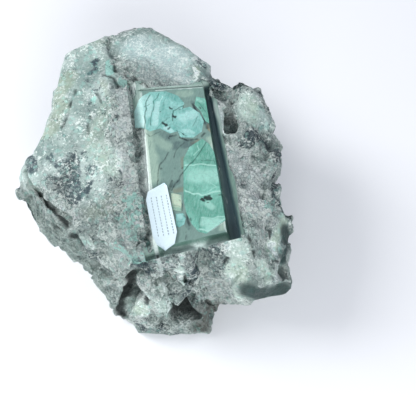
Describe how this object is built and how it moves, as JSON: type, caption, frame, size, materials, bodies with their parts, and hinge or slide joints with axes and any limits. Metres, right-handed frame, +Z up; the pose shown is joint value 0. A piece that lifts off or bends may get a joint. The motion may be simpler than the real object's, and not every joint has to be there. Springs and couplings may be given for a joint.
{
  "type": "rough emerald in matrix",
  "caption": "Rough block of schist and quartz holding milky green emerald crystals, which a sawn and polished window shows cut through. A blank paper tag lies on the window.",
  "frame": {"origin": "a point near the middle of the flat break that the stone rests on", "axes": "+Z up out of the resting face, towards the polished window; +Y to the back, along the window's length; +X to the right"},
  "size_m": [0.182, 0.2044, 0.1015],
  "materials": {
    "rock": "rough broken rock, with one window and its saw cuts polished",
    "crystal": "milky green crystal, polished flat",
    "tag": "matt white paper"
  },
  "bodies": {
    "root": {"matrix_rock": "rock", "emerald_long": "crystal", "emerald_pair": "crystal", "emerald_corner": "crystal", "emerald_pale": "crystal", "emerald_blue": "crystal", "paper_tag": "tag"}
  },
  "joints": []
}
